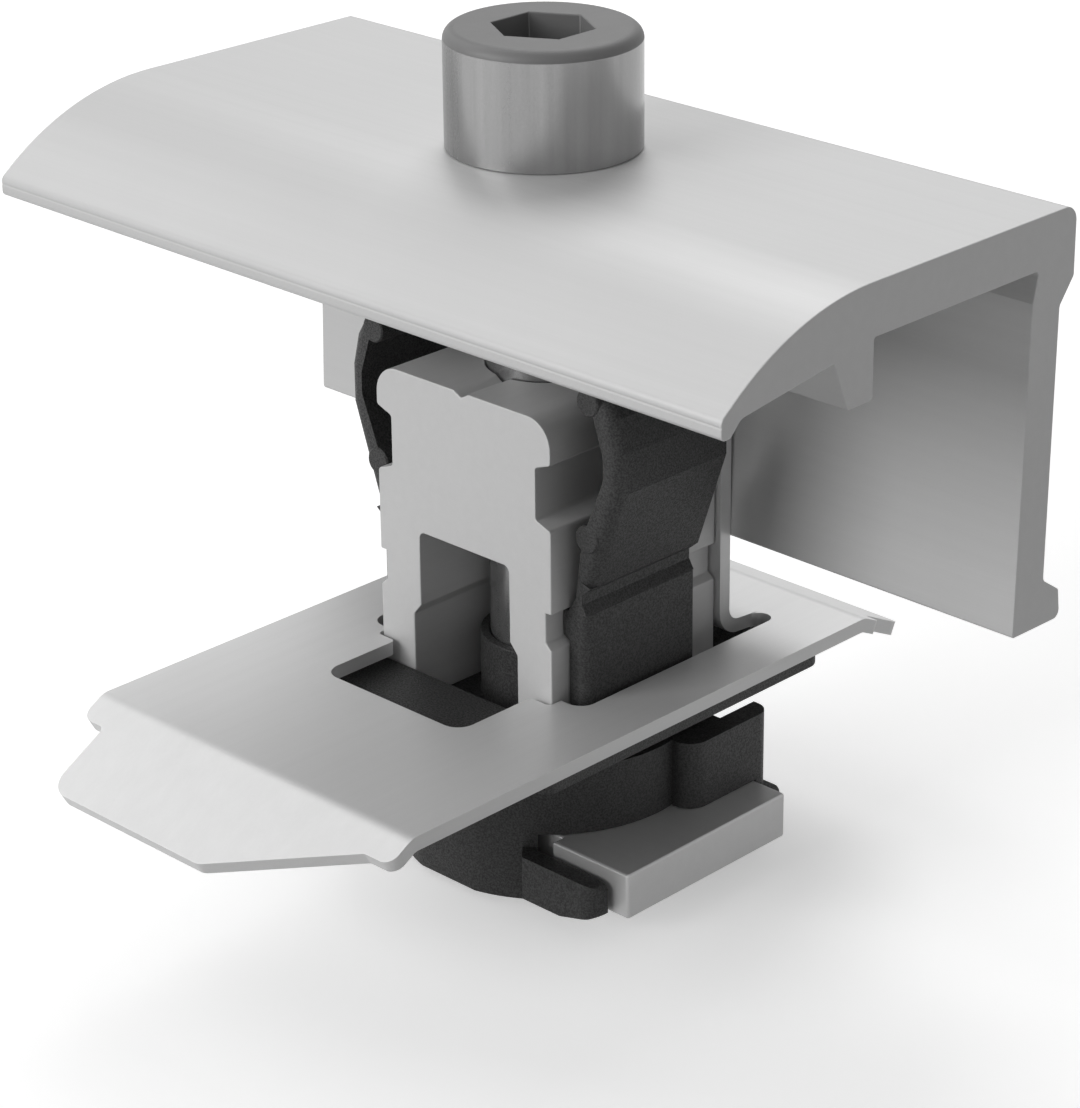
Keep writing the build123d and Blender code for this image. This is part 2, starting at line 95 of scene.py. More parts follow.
HEAD_TOP = 42.7
SOCKET_REACH = 4.2
WELD = 0.001
FLOOR_HEIGHT = -15.9
FLOOR_REACH = 6000.0
# Within FLOOR_NEAR of the object the floor's glow is dimmer, a painted shade around it, rising to full at
# FLOOR_FAR.
FLOOR_NEAR = 250.0
FLOOR_FAR = 1500.0


# Node helpers

def new_node(tree, kind, **settings):
    """Add one node and set its plain properties."""
    node = tree.nodes.new(kind)
    for name, value in settings.items():
        setattr(node, name, value)
    return node


def feed(tree, source, target):
    """Put a socket's value, or a plain one, into an input."""
    if isinstance(source, bpy.types.NodeSocket):
        tree.links.new(source, target)
    else:
        target.default_value = source


def number(tree, operation, *values):
    """A Math node; gives its output socket."""
    node = new_node(tree, "ShaderNodeMath", operation=operation)
    for index, value in enumerate(values):
        feed(tree, value, node.inputs[index])
    return node.outputs[0]


def spread(tree, value, from_low, from_high, to_low, to_high):
    """A Map Range node; gives its result."""
    node = new_node(tree, "ShaderNodeMapRange")
    names = ("Value", "From Min", "From Max", "To Min", "To Max")
    for name, part in zip(names, (value, from_low, from_high, to_low, to_high)):
        feed(tree, part, node.inputs[name])
    return node.outputs["Result"]


def upright(tree, height):
    """A vector straight up."""
    node = new_node(tree, "ShaderNodeCombineXYZ")
    feed(tree, height, node.inputs["Z"])
    return node.outputs[0]


def blend_colours(tree, mask, first, second):
    """A colour between two, by a mask."""
    node = new_node(tree, "ShaderNodeMix", data_type="RGBA")
    pair = [socket for socket in node.inputs if socket.type == "RGBA"]
    feed(tree, mask, node.inputs["Factor"])
    for colour, socket in zip((first, second), pair):
        feed(tree, colour, socket)
    return [socket for socket in node.outputs if socket.type == "RGBA"][0]


def new_group(kind, name, inputs, outputs):
    """A node group with named sockets, each given as (name, socket type, default)."""
    tree = bpy.data.node_groups.new(name, kind)
    for label, socket_type, default in inputs:
        socket = tree.interface.new_socket(label, in_out="INPUT", socket_type=socket_type)
        if default is not None:
            socket.default_value = default
    for label, socket_type in outputs:
        tree.interface.new_socket(label, in_out="OUTPUT", socket_type=socket_type)
    start = new_node(tree, "NodeGroupInput")
    end = new_node(tree, "NodeGroupOutput")
    return tree, start.outputs, end.inputs


FLOAT = "NodeSocketFloat"
VECTOR = "NodeSocketVector"
GEOMETRY = "NodeSocketGeometry"
MATERIAL = "NodeSocketMaterial"


# Surface effects that several finishes share

def draw_lines_group():
    """Fine lines left by drawing, rolling or sawing: noise stretched along one direction."""
    tree, given, out = new_group(
        "ShaderNodeTree",
        "draw lines",
        [
            ("Position", VECTOR, None),
            ("Lines per metre", VECTOR, (40.0, 9000.0, 9000.0)),
            ("Contrast", FLOAT, 1.0),
        ],
        [("Tone", FLOAT), ("Height", FLOAT)],
    )
    scaled = new_node(tree, "ShaderNodeVectorMath", operation="MULTIPLY")
    feed(tree, given["Position"], scaled.inputs[0])
    feed(tree, given["Lines per metre"], scaled.inputs[1])
    fine = new_node(tree, "ShaderNodeTexNoise")
    fine.inputs["Scale"].default_value = 1.0
    fine.inputs["Detail"].default_value = 2.0
    fine.inputs["Roughness"].default_value = 0.65
    feed(tree, scaled.outputs[0], fine.inputs["Vector"])
    wide = new_node(tree, "ShaderNodeTexNoise")
    wide.inputs["Scale"].default_value = 0.17
    wide.inputs["Detail"].default_value = 1.0
    feed(tree, scaled.outputs[0], wide.inputs["Vector"])
    both = number(tree, "ADD", fine.outputs["Fac"], wide.outputs["Fac"])
    centred = number(tree, "SUBTRACT", both, 1.0)
    feed(tree, number(tree, "MULTIPLY_ADD", centred, given["Contrast"], 0.5), out["Tone"])
    feed(tree, fine.outputs["Fac"], out["Height"])
    return tree


def grain_group():
    """Fine pitted grain of a blasted face or an eroded mould."""
    tree, given, out = new_group(
        "ShaderNodeTree",
        "grain",
        [
            ("Position", VECTOR, None),
            ("Grain size", FLOAT, 0.0002),
            ("Contrast", FLOAT, 1.0),
        ],
        [("Tone", FLOAT), ("Height", FLOAT)],
    )
    density = number(tree, "DIVIDE", 1.0, given["Grain size"])
    cloud = new_node(tree, "ShaderNodeTexNoise")
    cloud.inputs["Detail"].default_value = 2.0
    cloud.inputs["Roughness"].default_value = 0.75
    feed(tree, given["Position"], cloud.inputs["Vector"])
    feed(tree, density, cloud.inputs["Scale"])
    pits = new_node(tree, "ShaderNodeTexVoronoi")
    feed(tree, given["Position"], pits.inputs["Vector"])
    feed(tree, number(tree, "MULTIPLY", density, 0.6), pits.inputs["Scale"])
    centred = number(tree, "SUBTRACT", cloud.outputs["Fac"], 0.5)
    feed(tree, number(tree, "MULTIPLY_ADD", centred, given["Contrast"], 0.5), out["Tone"])
    rough = number(tree, "MULTIPLY_ADD", pits.outputs["Distance"], 0.5, cloud.outputs["Fac"])
    feed(tree, rough, out["Height"])
    return tree


def handling_group():
    """Slow cloudy change of tone, as on metal that was stored and handled."""
    tree, given, out = new_group(
        "ShaderNodeTree",
        "handling marks",
        [
            ("Position", VECTOR, None),
            ("Patch size", FLOAT, 0.01),
            ("Amount", FLOAT, 0.3),
        ],
        [("Tone", FLOAT)],
    )
    cloud = new_node(tree, "ShaderNodeTexNoise")
    cloud.inputs["Detail"].default_value = 3.0
    feed(tree, given["Position"], cloud.inputs["Vector"])
    feed(tree, number(tree, "DIVIDE", 1.0, given["Patch size"]), cloud.inputs["Scale"])
    centred = number(tree, "SUBTRACT", cloud.outputs["Fac"], 0.5)
    feed(tree, number(tree, "MULTIPLY", centred, given["Amount"]), out["Tone"])
    return tree


def worn_edge_group():
    """A mask of the sharp edges, broken up, where handling polishes the surface."""
    tree, given, out = new_group(
        "ShaderNodeTree",
        "worn edges",
        [
            ("Position", VECTOR, None),
            ("Width", FLOAT, 0.00015),
            ("Amount", FLOAT, 0.5),
        ],
        [("Mask", FLOAT)],
    )
    rounded = new_node(tree, "ShaderNodeBevel", samples=4)
    feed(tree, given["Width"], rounded.inputs["Radius"])
    surface = new_node(tree, "ShaderNodeNewGeometry")
    match = new_node(tree, "ShaderNodeVectorMath", operation="DOT_PRODUCT")
    feed(tree, rounded.outputs["Normal"], match.inputs[0])
    feed(tree, surface.outputs["Normal"], match.inputs[1])
    edge = spread(tree, match.outputs["Value"], 0.98, 0.75, 0.0, 1.0)
    breaks = new_node(tree, "ShaderNodeTexNoise")
    breaks.inputs["Scale"].default_value = 900.0
    breaks.inputs["Detail"].default_value = 2.0
    feed(tree, given["Position"], breaks.inputs["Vector"])
    broken = spread(tree, breaks.outputs["Fac"], 0.35, 0.6, 0.3, 1.0)
    worn = number(tree, "MULTIPLY", edge, broken)
    feed(tree, number(tree, "MULTIPLY", worn, given["Amount"]), out["Mask"])
    return tree


draw_lines = draw_lines_group()
grain = grain_group()
handling = handling_group()
worn_edges = worn_edge_group()


def apply_effect(tree, group, position, **values):
    """One of the shared effects in a material, with its own values."""
    node = new_node(tree, "ShaderNodeGroup", node_tree=group)
    feed(tree, position, node.inputs["Position"])
    for name, value in values.items():
        node.inputs[name.replace("_", " ").capitalize()].default_value = value
    return node.outputs


def start_finish(name):
    """A new material; gives it, its tree, its shader and the Object coordinates."""
    finish = bpy.data.materials.new(name)
    finish.use_nodes = True
    tree = finish.node_tree
    position = new_node(tree, "ShaderNodeTexCoord").outputs["Object"]
    return finish, tree, tree.nodes["Principled BSDF"], position


def raise_surface(tree, shader, height, strength, depth):
    """Bump the shader's normal by a height."""
    node = new_node(tree, "ShaderNodeBump")
    node.inputs["Strength"].default_value = strength
    node.inputs["Distance"].default_value = depth
    feed(tree, height, node.inputs["Height"])
    feed(tree, node.outputs["Normal"], shader.inputs["Normal"])


def grey(level):
    """A neutral colour."""
    return (level, level, level, 1)


TONE_SWING = 0.045
ROUGH_SWING = 0.04


def bare_metal(name, level, lines, metallic, rough, wear):
    """Bare metal: lines along one direction, handling marks and polished edges."""
    finish, tree, shader, position = start_finish(name)
    drawn = apply_effect(tree, draw_lines, position, lines_per_metre=lines, contrast=0.5)
    marks = apply_effect(tree, handling, position, patch_size=0.009, amount=0.35)
    edge = apply_effect(tree, worn_edges, position, width=0.00014, amount=wear)["Mask"]
    tone = number(tree, "ADD", drawn["Tone"], marks["Tone"])
    darker = grey(level * (1 - TONE_SWING))
    lighter = grey(level * (1 + TONE_SWING))
    dull = blend_colours(tree, tone, darker, lighter)
    polished = grey(min(level * 1.35, 0.9))
    feed(tree, blend_colours(tree, edge, dull, polished), shader.inputs["Base Color"])
    satin = spread(tree, tone, 0.0, 1.0, rough + ROUGH_SWING, rough - ROUGH_SWING)
    feed(tree, number(tree, "MULTIPLY_ADD", edge, -0.1, satin), shader.inputs["Roughness"])
    shader.inputs["Metallic"].default_value = metallic
    raise_surface(tree, shader, drawn["Height"], 0.12, 0.00001)
    return finish


def between(tree, height, low, high):
    """Nought below one height and one above another, both in millimetres."""
    return spread(tree, height, low * MM, high * MM, 0.0, 1.0)


def screw_finish():
    """The screw: side ground bright along its length, and a dull forged top, rim and socket, whose darker
    colour is partly painted shade, most of all on the flat top.
    """
    finish, tree, shader, position = start_finish("screw_steel")
    ground = apply_effect(tree, draw_lines, position, lines_per_metre=(1500, 1500, 40), contrast=0.6)
    fine = apply_effect(tree, grain, position, grain_size=0.00012, contrast=0.5)
    edge = apply_effect(tree, worn_edges, position, width=0.00016, amount=0.25)["Mask"]
    parts = new_node(tree, "ShaderNodeSeparateXYZ")
    feed(tree, position, parts.inputs[0])
    height = parts.outputs["Z"]
    rim = between(tree, height, RIM_START - 0.03, RIM_START + 0.03)
    sideways = new_node(tree, "ShaderNodeCombineXYZ")
    feed(tree, parts.outputs["X"], sideways.inputs["X"])
    feed(tree, parts.outputs["Y"], sideways.inputs["Y"])
    from_axis = new_node(tree, "ShaderNodeVectorMath", operation="LENGTH")
    feed(tree, sideways.outputs[0], from_axis.inputs[0])
    inside = number(tree, "LESS_THAN", from_axis.outputs["Value"], SOCKET_REACH * MM)
    in_head = number(tree, "GREATER_THAN", height, (CLAMP_TOP + 1) * MM)
    # The forged top, rim and socket: a rougher, less metallic real finish, with a darker colour that is
    # partly painted shade.
    forged_and_shaded = number(tree, "MAXIMUM", rim, number(tree, "MULTIPLY", inside, in_head))
    tone = number(tree, "ADD", ground["Tone"], number(tree, "SUBTRACT", fine["Tone"], 0.5))
    turned = blend_colours(tree, tone, grey(0.22), grey(0.37))
    # The flat top gets a darker colour than the slanted rim of the same steel: painted shade.
    flat = between(tree, height, HEAD_TOP - 0.12, HEAD_TOP - 0.02)
    level = blend_colours(tree, fine["Tone"], grey(0.1), grey(0.122))
    slanted = blend_colours(tree, fine["Tone"], grey(0.14), grey(0.17))
    top = blend_colours(tree, flat, slanted, level)
    colour = blend_colours(tree, forged_and_shaded, turned, top)
    feed(tree, blend_colours(tree, edge, colour, grey(0.34)), shader.inputs["Base Color"])
    satin = spread(tree, tone, 0.0, 1.0, 0.3, 0.22)
    feed(tree, number(tree, "MULTIPLY_ADD", forged_and_shaded, 0.3, satin), shader.inputs["Roughness"])
    feed(tree, spread(tree, forged_and_shaded, 0.0, 1.0, 0.85, 0.25), shader.inputs["Metallic"])
    raise_surface(tree, shader, ground["Height"], 0.05, 0.00001)
    return finish


def moulded_plastic():
    """Black glass-filled plastic with an eroded grain and paler rubbed edges."""
    finish, tree, shader, position = start_finish("black_plastic")
    eroded = apply_effect(tree, grain, position, grain_size=0.00013, contrast=4.6)
    marks = apply_effect(tree, handling, position, patch_size=0.003, amount=0.15)
    edge = apply_effect(tree, worn_edges, position, width=0.00025, amount=0.5)["Mask"]
    tone = number(tree, "ADD", eroded["Tone"], marks["Tone"])
    dark = blend_colours(tree, tone, grey(0.008), grey(0.044))
    feed(tree, blend_colours(tree, edge, dark, grey(0.06)), shader.inputs["Base Color"])
    feed(tree, spread(tree, tone, 0.0, 1.0, 0.66, 0.5), shader.inputs["Roughness"])
    shader.inputs["Specular IOR Level"].default_value = 0.4
    raise_surface(tree, shader, eroded["Height"], 0.4, 0.00006)
    return finish


# Drawing lines run along x on the extrusion and the nut, rolling lines along y on the block and plate
bare_metals = (
    dict(name="profile_aluminium", level=0.56, lines=(35, 8000, 8000), metallic=0.14, rough=0.44, wear=0.4),
    dict(name="block_aluminium", level=0.58, lines=(8000, 60, 8000), metallic=0.14, rough=0.5, wear=0.4),
    dict(name="sheet_steel", level=0.65, lines=(7000, 50, 7000), metallic=0.25, rough=0.42, wear=0.35),
    dict(name="nut_steel", level=0.68, lines=(120, 6000, 6000), metallic=0.35, rough=0.42, wear=0.45),
)
finishes = {metal["name"]: bare_metal(**metal) for metal in bare_metals}
finishes["screw_steel"] = screw_finish()
finishes["black_plastic"] = moulded_plastic()

slot_of = {row["node"]: row["material_slot"] for row in frame["record"]["subparts"]}
body_of = {}
for body_name, members in frame["record"]["behaviour"]["bodies"].items():
    for member in members:
        body_of[member] = body_name

for node_name, node in frame["nodes"].items():
    node.data.materials.clear()
    node.data.materials.append(finishes[slot_of[node_name]])


# Mesh helpers

def add_object(name, mesh):
    """Link a mesh to the scene as an object at the origin."""
    thing = bpy.data.objects.new(name, mesh)
    bpy.context.collection.objects.link(thing)
    return thing


@contextmanager
def opened(mesh):
    """A mesh opened for editing, and written back at the end."""
    work = bmesh.new()
    work.from_mesh(mesh)
    yield work
    work.to_mesh(mesh)
    work.free()


def made_plain(thing):
    """Turn an object's modifiers into its plain mesh."""
    graph = bpy.context.evaluated_depsgraph_get()
    mesh = bpy.data.meshes.new_from_object(thing.evaluated_get(graph), depsgraph=graph)
    old = thing.data
    thing.modifiers.clear()
    thing.data = mesh
    bpy.data.meshes.remove(old)


def shade_smooth(mesh, angle):
    """Shade a mesh smooth, but for the edges sharper than an angle in degrees."""
    mesh.polygons.foreach_set("use_smooth", [True] * len(mesh.polygons))
    mesh.set_sharp_from_angle(angle=radians(angle))


def break_edges(thing, width, angle, smooth, clamped=False):
    """Round an object's sharp edges a little, and keep its flat faces flat in the shading.

    The width is in millimetres and both angles in degrees. Clamped holds the rounding back at short
    edges, where a full one would tear the mesh.
    """
    bevel = thing.modifiers.new("broken edges", "BEVEL")
    bevel.width = width * MM
    bevel.segments = 2
    bevel.limit_method = "ANGLE"
    bevel.angle_limit = radians(angle)
    bevel.use_clamp_overlap = clamped
    made_plain(thing)
    shade_smooth(thing.data, smooth)
    flats = thing.modifiers.new("flat faces", "WEIGHTED_NORMAL")
    flats.keep_sharp = True
    made_plain(thing)


def dress(thing, node_name):
    """Give a finished piece its material and its body, and hide the CAD node that it stands for."""
    finish = slot_of[node_name]
    thing.data.materials.clear()
    thing.data.materials.append(finishes[finish])
    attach(thing, body_of[node_name])
    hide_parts(node_name)
    return thing


def merged_copy(node_name, piece_name):
    """A copy of a CAD node as one closed mesh with its flat faces whole."""
    mesh = frame["nodes"][node_name].data.copy()
    with opened(mesh) as work:
        bmesh.ops.remove_doubles(work, verts=work.verts, dist=WELD * MM)
        bmesh.ops.dissolve_limit(work, angle_limit=radians(0.5), verts=work.verts, edges=work.edges)
    return add_object(piece_name, mesh)


def finished_copy(node_name, piece_name, width, angle=32.0, smooth=30.0, clamped=False):
    """A CAD node's shape with its edges broken."""
    thing = merged_copy(node_name, piece_name)
    break_edges(thing, width, angle, smooth, clamped)
    return dress(thing, node_name)


# The camera at the photograph's viewing point, solved from the part's parallel edges

CAMERA_PLACE = (152.797, -155.6847, 102.6961)
CAMERA_TURN = (67.91993, -0.15617, 42.6038)
CAMERA_LENS = 114.003
CAMERA_SHIFT = (-0.10497, -0.10543)


def photograph_camera():
    """The camera, its place in millimetres and its turn in degrees."""
    data = bpy.data.cameras.new("camera")
    data.lens = CAMERA_LENS
    data.sensor_width = 36
    data.shift_x, data.shift_y = CAMERA_SHIFT
    data.clip_start = 0.01
    data.clip_end = 10
    thing = bpy.data.objects.new("camera", data)
    bpy.context.collection.objects.link(thing)
    thing.location = [value * MM for value in CAMERA_PLACE]
    thing.rotation_euler = [radians(value) for value in CAMERA_TURN]
    bpy.context.scene.camera = thing


photograph_camera()


# The clamp extrusion, by Geometry Nodes. Its section is a ring of corners in millimetres, each given as
# y, z and the radius that rounds it

def dome_corners():
    """The flat top's end and the dome, down its arc and along a short straight run to the lip's edge."""
    reach = NOSE_START - NOSE_TIP - LIP_RUN
    corners = []
    for step in range(NOSE_STEPS + 1):
        along = reach * step / NOSE_STEPS
        drop = NOSE_RADIUS - sqrt(NOSE_RADIUS**2 - along**2)
        corners.append((NOSE_START - along, CLAMP_TOP - drop, 0.0))
    slope = reach / sqrt(NOSE_RADIUS**2 - reach**2)
    corners.append((NOSE_TIP, corners[-1][1] - slope * LIP_RUN, 0.6))
    return corners


def lip_corners():
    """The lip's face with the shallow line along it, and the tooth over the panel's frame."""
    tooth_back = NOSE_TIP + TOOTH_WIDTH
    return [
        (NOSE_TIP, LIP_LINE + LIP_LINE_HALF, 0.0),
        (NOSE_TIP + LIP_LINE_DEPTH, LIP_LINE, 0.0),
        (NOSE_TIP, LIP_LINE - LIP_LINE_HALF, 0.0),
        (NOSE_TIP, TOOTH_BOTTOM, 0.38),
        (tooth_back, TOOTH_BOTTOM, 0.36),
        (tooth_back + 0.92, TOOTH_BOTTOM + 0.95, 0.9),
    ]


def rib_corners():
    """The short rib under the top."""
    return [
        (RIB_FRONT_TOP, LIP_ROOT, 0.15),
        (RIB_BACK - RIB_BOTTOM_WIDTH, RIB_BOTTOM, 0.2),
        (RIB_BACK, RIB_BOTTOM, 0.3),
        (RIB_BACK, TOP_UNDERSIDE, 0.2),
    ]


def leg_corners():
    """The back leg: down its inner face, round the foot, and up to the thicker back edge."""
    relief_y = LEG_INNER_TOP + 0.06
    foot_top = LEG_BOTTOM + FOOT_HEIGHT
    return [
        (relief_y + 0.5, TOP_UNDERSIDE, 0.3),
        (relief_y, LEG_TOP + 0.98, 0.0),
        (LEG_INNER_TOP, LEG_TOP, 0.0),
        (LEG_INNER_BOTTOM, LEG_BOTTOM + 0.2, 0.0),
        (LEG_INNER_BOTTOM + 0.12, LEG_BOTTOM, 0.0),
        (FOOT_OUTER, LEG_BOTTOM - 0.1, 0.55),
        (FOOT_OUTER - 0.25, foot_top, 0.25),
        (LEG_OUTER_BOTTOM, foot_top + 1.15, 0.5),
        (LEG_OUTER_TOP, LEG_TOP + 0.15, 0.5),
        (BACK_FACE, CLAMP_TOP - BACK_EDGE_HEIGHT, 0.4),
        (BACK_FACE, CLAMP_TOP, 1.1),
    ]


def section_ring():
    """The corners as a closed ring of edges, drawn flat, with the radii as an attribute."""
    corners = dome_corners() + lip_corners() + rib_corners() + leg_corners()
    mesh = bpy.data.meshes.new("clamp section")
    points = [(y * MM, z * MM, 0) for y, z, radius in corners]
    count = len(points)
    edges = [(index, (index + 1) % count) for index in range(count)]
    mesh.from_pydata(points, edges, [])
    radii = mesh.attributes.new("corner_radius", "FLOAT", "POINT")
    for item, (y, z, radius) in zip(radii.data, corners):
        item.value = radius * MM
    return mesh


def end_tree(tree, geometry, finish, output):
    """Close a Geometry Nodes tree with real geometry and its material."""
    real = new_node(tree, "GeometryNodeRealizeInstances")
    feed(tree, geometry, real.inputs[0])
    painted = new_node(tree, "GeometryNodeSetMaterial")
    feed(tree, real.outputs[0], painted.inputs["Geometry"])
    feed(tree, finish, painted.inputs["Material"])
    feed(tree, painted.outputs[0], output)


def extrusion_nodes():
    """Round the section's corners, fill it, extrude it along x and drill the screw hole."""
    tree, given, out = new_group(
        "GeometryNodeTree",
        "extruded clamp",
        [
            ("Section", GEOMETRY, None),
            ("Length", FLOAT, 0.05),
            ("Hole diameter", FLOAT, 0.009),
            ("Hole height", FLOAT, 0.03),
            ("Drill depth", FLOAT, 0.01),
            ("Weld", FLOAT, 0.000001),
            ("Finish", MATERIAL, None),
        ],
        [("Clamp", GEOMETRY)],
    )
    ring = new_node(tree, "GeometryNodeMeshToCurve")
    feed(tree, given["Section"], ring.inputs["Mesh"])
    radii = new_node(tree, "GeometryNodeInputNamedAttribute", data_type="FLOAT")
    radii.inputs["Name"].default_value = "corner_radius"
    rounding = new_node(tree, "GeometryNodeFilletCurve", mode="POLY")
    rounding.inputs["Count"].default_value = 14
    rounding.inputs["Limit Radius"].default_value = True
    feed(tree, ring.outputs[0], rounding.inputs["Curve"])
    feed(tree, radii.outputs["Attribute"], rounding.inputs["Radius"])
    filled = new_node(tree, "GeometryNodeFillCurve", mode="NGONS")
    feed(tree, rounding.outputs[0], filled.inputs["Curve"])
    drawn = new_node(tree, "GeometryNodeExtrudeMesh", mode="FACES")
    drawn.inputs["Individual"].default_value = False
    feed(tree, filled.outputs[0], drawn.inputs["Mesh"])
    feed(tree, upright(tree, given["Length"]), drawn.inputs["Offset"])
    near_end = new_node(tree, "GeometryNodeFlipFaces")
    feed(tree, filled.outputs[0], near_end.inputs[0])
    both = new_node(tree, "GeometryNodeJoinGeometry")
    feed(tree, near_end.outputs[0], both.inputs[0])
    feed(tree, drawn.outputs["Mesh"], both.inputs[0])
    closed = new_node(tree, "GeometryNodeMergeByDistance")
    feed(tree, given["Weld"], closed.inputs["Distance"])
    feed(tree, both.outputs[0], closed.inputs["Geometry"])
    middle = new_node(tree, "ShaderNodeCombineXYZ")
    feed(tree, number(tree, "MULTIPLY", given["Length"], -0.5), middle.inputs["X"])
    stood = new_node(tree, "GeometryNodeTransform")
    stood.inputs["Rotation"].default_value = (pi / 2, 0, pi / 2)
    feed(tree, closed.outputs[0], stood.inputs["Geometry"])
    feed(tree, middle.outputs[0], stood.inputs["Translation"])
    drill = new_node(tree, "GeometryNodeMeshCylinder")
    drill.inputs["Vertices"].default_value = 96
    feed(tree, given["Drill depth"], drill.inputs["Depth"])
    feed(tree, number(tree, "MULTIPLY", given["Hole diameter"], 0.5), drill.inputs["Radius"])
    placed = new_node(tree, "GeometryNodeTransform")
    feed(tree, drill.outputs["Mesh"], placed.inputs["Geometry"])
    feed(tree, upright(tree, given["Hole height"]), placed.inputs["Translation"])
    cut = new_node(tree, "GeometryNodeMeshBoolean", operation="DIFFERENCE", solver="EXACT")
    feed(tree, stood.outputs[0], cut.inputs["Mesh 1"])
    feed(tree, placed.outputs[0], cut.inputs["Mesh 2"])
    end_tree(tree, cut.outputs["Mesh"], given["Finish"], out["Clamp"])
    return tree


def run_nodes(thing, tree, **values):
    """Run a Geometry Nodes tree on an object with its named inputs and keep the plain mesh."""
    modifier = thing.modifiers.new(tree.name, "NODES")
    modifier.node_group = tree
    wanted = {name.replace("_", " ").capitalize(): value for name, value in values.items()}
    for item in tree.interface.items_tree:
        if item.in_out == "INPUT" and item.name in wanted:
            modifier[item.identifier] = wanted[item.name]
    made_plain(thing)


def lipped_clamp():
    """The extruded clamp over the panel frame, with its cut ends broken."""
    thing = add_object("lipped_clamp", section_ring())
    run_nodes(
        thing,
        extrusion_nodes(),
        length=CLAMP_LENGTH * MM,
        hole_diameter=HOLE_D * MM,
        hole_height=(CLAMP_TOP - TOP_WALL / 2) * MM,
        drill_depth=DRILL_DEPTH * MM,
        weld=WELD * MM,
        finish=finishes["profile_aluminium"],
    )
    break_edges(thing, width=0.07, angle=50, smooth=9)
    dress(thing, "clamp_profile")


lipped_clamp()


# The screw: the head and shank from the CAD, its thread by Geometry Nodes

def thread_nodes():
    """A rolled thread: a grid wrapped round the axis, its radius following the helix."""
    tree, given, out = new_group(
        "GeometryNodeTree",
        "rolled thread",
        [
            ("Blank", GEOMETRY, None),
            ("Outer radius", FLOAT, 0.004),
            ("Pitch", FLOAT, 0.00125),
            ("Depth", FLOAT, 0.0007),
            ("Bottom", FLOAT, -0.015),
            ("Top", FLOAT, 0.0),
            ("End chamfer", FLOAT, 0.0007),
            ("Weld", FLOAT, 0.000002),
            ("Finish", MATERIAL, None),
        ],
        [("Thread", GEOMETRY)],
    )
    point = new_node(tree, "GeometryNodeInputPosition")
    parts = new_node(tree, "ShaderNodeSeparateXYZ")
    feed(tree, point.outputs[0], parts.inputs[0])
    around = parts.outputs["X"]
    angle = number(tree, "MULTIPLY", around, 2 * pi)
    height = spread(tree, parts.outputs["Y"], 0.0, 1.0, given["Bottom"], given["Top"])
    turns = number(tree, "DIVIDE", height, given["Pitch"])
    # Whole turns are added, so that the fraction is taken of a positive number
    added_turns = 40.0
    helix = number(tree, "ADD", number(tree, "SUBTRACT", turns, around), added_turns)
    phase = number(tree, "SUBTRACT", number(tree, "FRACT", helix), 0.5)
    flank = number(tree, "MULTIPLY", number(tree, "ABSOLUTE", phase), 2.0)
    crest_end = 0.1
    root_start = 0.85
    groove = spread(tree, flank, crest_end, root_start, 0.0, 1.0)
    from_top = number(tree, "SUBTRACT", given["Top"], height)
    run_out = spread(tree, number(tree, "DIVIDE", from_top, given["Pitch"]), 0.0, 1.0, 0.0, 1.0)
    from_end = number(tree, "SUBTRACT", height, given["Bottom"])
    lead_in = spread(tree, number(tree, "DIVIDE", from_end, given["Pitch"]), 0.0, 0.4, 0.0, 1.0)
    fading = number(tree, "MULTIPLY", run_out, lead_in)
    depth = number(tree, "MULTIPLY", number(tree, "MULTIPLY", groove, fading), given["Depth"])
    chamfer = number(tree, "MAXIMUM", number(tree, "SUBTRACT", given["End chamfer"], from_end), 0.0)
    deeper = number(tree, "MAXIMUM", depth, chamfer)
    radius = number(tree, "SUBTRACT", given["Outer radius"], deeper)
    wrapped = new_node(tree, "ShaderNodeCombineXYZ")
    feed(tree, number(tree, "MULTIPLY", number(tree, "COSINE", angle), radius), wrapped.inputs["X"])
    feed(tree, number(tree, "MULTIPLY", number(tree, "SINE", angle), radius), wrapped.inputs["Y"])
    feed(tree, height, wrapped.inputs["Z"])
    moved = new_node(tree, "GeometryNodeSetPosition")
    feed(tree, given["Blank"], moved.inputs["Geometry"])
    feed(tree, wrapped.outputs[0], moved.inputs["Position"])
    closed = new_node(tree, "GeometryNodeMergeByDistance")
    feed(tree, given["Weld"], closed.inputs["Distance"])
    feed(tree, moved.outputs[0], closed.inputs["Geometry"])
    end_tree(tree, closed.outputs[0], given["Finish"], out["Thread"])
    return tree


def thread_blank(around, along):
    """A flat grid from 0 to 1 that becomes the thread's surface."""
    mesh = bpy.data.meshes.new("thread blank")
    points = []
    faces = []
    for row in range(along + 1):
        for column in range(around + 1):
            points.append((column / around, row / along, 0))
    for row in range(along):
        for column in range(around):
            corner = row * (around + 1) + column
            faces.append((corner, corner + 1, corner + around + 2, corner + around + 1))
    mesh.from_pydata(points, [], faces)
    return mesh


def close_rims(work):
    """Fill the open rims of a bmesh and turn its faces outwards."""
    rims = [edge for edge in work.edges if edge.is_boundary]
    bmesh.ops.holes_fill(work, edges=rims, sides=0)
    bmesh.ops.recalc_face_normals(work, faces=work.faces)


def screw_thread():
    """The threaded part of the screw, below the shank."""
    thing = add_object("screw_thread", thread_blank(THREAD_STEPS_ROUND, THREAD_STEPS_ALONG))
    run_nodes(
        thing,
        thread_nodes(),
        outer_radius=SCREW_D / 2 * MM,
        pitch=THREAD_PITCH * MM,
        depth=THREAD_DEPTH * MM,
        bottom=SCREW_TIP * MM,
        top=THREAD_TOP * MM,
        end_chamfer=SCREW_CHAMFER * MM,
        weld=2 * WELD * MM,
        finish=finishes["screw_steel"],
    )
    with opened(thing.data) as work:
        close_rims(work)
    shade_smooth(thing.data, angle=28)
    dress(thing, "clamp_screw")


